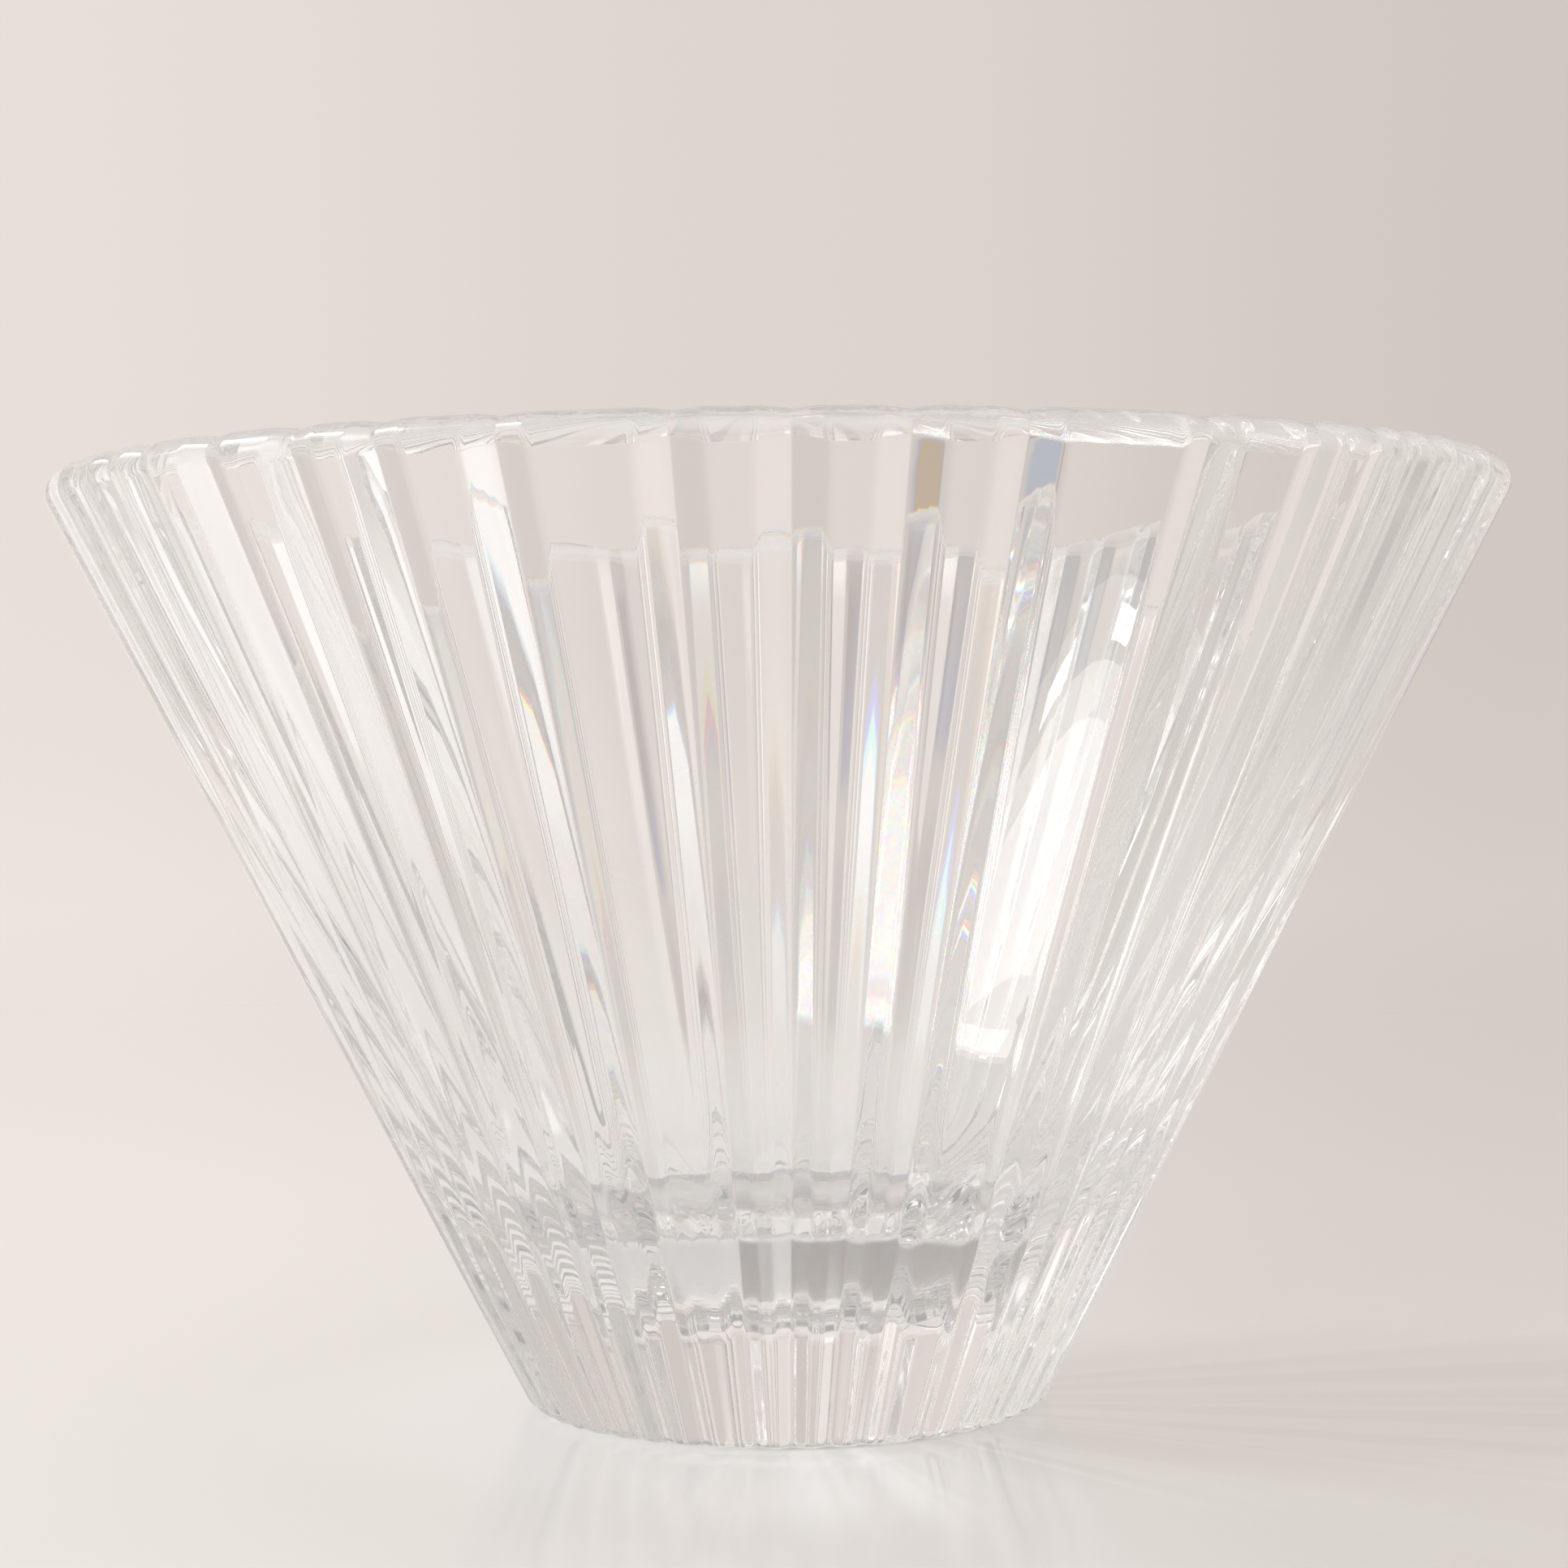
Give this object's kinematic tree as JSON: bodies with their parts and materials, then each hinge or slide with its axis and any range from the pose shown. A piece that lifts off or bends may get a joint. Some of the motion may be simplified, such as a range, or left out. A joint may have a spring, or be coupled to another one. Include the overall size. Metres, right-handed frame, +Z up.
{
  "type": "glass bowl",
  "caption": "Wide flared bowl of thick clear glass with a round lip and a solid flat base, its outside cut into flat upright panels of uneven width parted by V grooves.",
  "frame": {"origin": "centre of the flat underside, on the bowl's axis", "axes": "+Z up along the bowl's axis, out of its mouth; the side seen in the picture faces -Y"},
  "size_m": [0.205, 0.205, 0.132],
  "materials": {
    "clear_glass": "fire-polished clear crystal glass"
  },
  "bodies": {
    "root": {"bowl": "clear_glass"}
  },
  "joints": []
}
